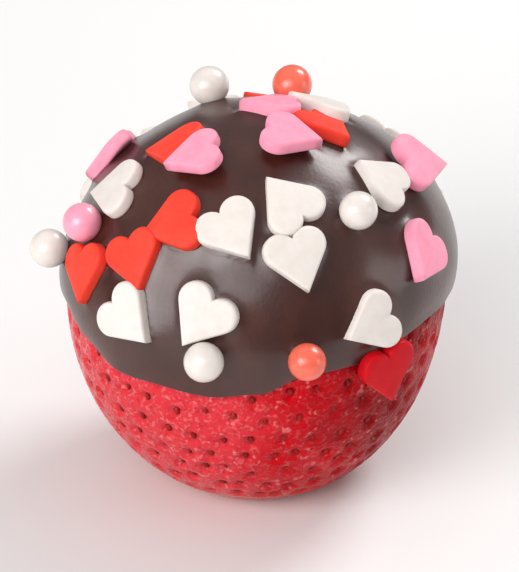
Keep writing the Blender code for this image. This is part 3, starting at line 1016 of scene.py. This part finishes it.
for share in (0.95, 0.85, 0.75, 0.65, 0.55, 0.45, 0.35, 0.25, 0.16, 0.08, 0.03, 0.0):
    add_shell_ring(share_run(share), lambda run, azimuth: GAP, 0.0)
for step in range(1, LIP_STEPS):
    turn = math.pi * step / LIP_STEPS
    add_shell_ring(
        lambda azimuth, turn=turn: rim_run(azimuth) - CHOCOLATE_AT_EDGE / 2 * math.sin(turn),
        lambda run, azimuth, turn=turn: GAP + CHOCOLATE_AT_EDGE * (1 - math.cos(turn)) / 2,
        step / LIP_STEPS * 0.5,
    )
for row in range(SHELL_ROWS):
    share = row / SHELL_ROWS
    add_shell_ring(share_run(share), chocolate_off, min(1.0, 0.5 + row * 0.25))
for low, high in zip(rings, rings[1:]):
    join_rings(bm, low, high)
outer_pole = bm.verts.new(skin_point(TIP_RUN, 0.0, GAP + CHOCOLATE_AT_TIP))
outer_pole[outer_layer] = 1.0
close_ring(bm, rings[-1], outer_pole)
close_ring(bm, rings[0], bm.verts.new(skin_point(TIP_RUN, 0.0, GAP)))
base = show("shell base", plain_mesh("shell base", bm))
values = {"Sprinkles": sprinkles, "Chocolate": chocolate.material}
coating = run_recipe("dark_chocolate", base, chocolate_recipe, values)
bpy.data.collections.remove(sprinkles)
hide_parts("chocolate_coating")
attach(coating, "root")
print(f"dark chocolate: {len(coating.data.polygons)} faces")

# %% [markdown]
# ## Floor, light and camera
# A plain pale floor bounces white light up under the berry, which gives its lower skin a soft sheen. A
# window on the left and a wide wall of light in front make the long sheens on the chocolate. A smaller
# lamp, high on the right and a little behind, makes its bright spot, and a weak light from the right
# opens the shadow side. The camera looks down by 32 degrees through a long lens, as in the photograph.

# %% Floor
FLOOR_HALF = 4.0
bm = bmesh.new()
corners = [(-1, -1), (1, -1), (1, 1), (-1, 1)]
bm.faces.new([bm.verts.new((x * FLOOR_HALF, y * FLOOR_HALF, 0)) for x, y in corners])
floor = show("floor", plain_mesh("floor", bm), smooth=False)
floor_finish = Finish("Pale floor", Roughness=0.7, Specular_IOR_Level=0.2)
floor_finish.feed(
    "Base Color", floor_finish.blend(floor_finish.noise(0.2), screen(228, 227, 226), screen(232, 231, 230))
)
floor.data.materials.append(floor_finish.material)
print(f"floor: {2 * FLOOR_HALF:.0f} m square")

# %% Lights
def aim(thing, place, target):
    thing.location = place
    thing.rotation_euler = (target - place).to_track_quat("-Z", "Y").to_euler()


def soft_light(name, direction, distance, size, power):
    lamp = bpy.data.lights.new(name, "AREA")
    lamp.shape = "DISK"
    lamp.size = size
    lamp.energy = power
    light = bpy.data.objects.new(name, lamp)
    bpy.context.scene.collection.objects.link(light)
    middle = Vector((0, 0, CUT_TO_WIDEST))
    aim(light, middle + Vector(direction).normalized() * distance, middle)
    print(f"{name}: {power} W, {size} m across, {distance} m away")


soft_light("left window", (-0.66, -0.62, 0.42), distance=0.5, size=0.32, power=1.5)
soft_light("front wall", (-0.3, -0.75, 0.59), distance=0.7, size=0.45, power=1.5)
soft_light("high right lamp", (0.536, 0.532, 0.663), distance=0.5, size=0.24, power=1.6)
soft_light("right wall", (0.95, -0.25, 0.2), distance=0.7, size=0.3, power=0.6)

# %% Light from all round
HORIZON_LIGHT = 0.13
ADDED_OVERHEAD = 0.44
world = bpy.data.worlds.new("studio")
world.use_nodes = True
sky = world.node_tree
direction = add_node(sky, "ShaderNodeTexCoord", output="Generated")
overhead = add_node(sky, "ShaderNodeSeparateXYZ", None, {0: direction}, output="Z")
brightness = overhead.steps(0.0, 0.9) * ADDED_OVERHEAD + HORIZON_LIGHT
sky.links.new(brightness.socket, sky.nodes["Background"].inputs["Strength"])
sky.nodes["Background"].inputs["Color"].default_value = (1, 1, 1, 1)
bpy.context.scene.world = world
bpy.context.scene.view_settings.view_transform = "Standard"
print(f"all round: {HORIZON_LIGHT} at the horizon, {HORIZON_LIGHT + ADDED_OVERHEAD:.2f} overhead")

# %% Camera
CAMERA_DISTANCE = 1.0
FRAME_HEIGHT = 58 * MM
lens = bpy.data.cameras.new("camera")
lens.sensor_width = 36
lens.lens = 36 * CAMERA_DISTANCE / FRAME_HEIGHT
camera = bpy.data.objects.new("camera", lens)
bpy.context.scene.collection.objects.link(camera)
_, _, eye = view_axes()
look_at = Vector((0.4 * MM, 0, 20.5 * MM))
aim(camera, look_at + eye * CAMERA_DISTANCE, look_at)
bpy.context.scene.camera = camera
print(f"camera: {CAMERA_DISTANCE} m away, a {lens.lens:.0f} mm lens")
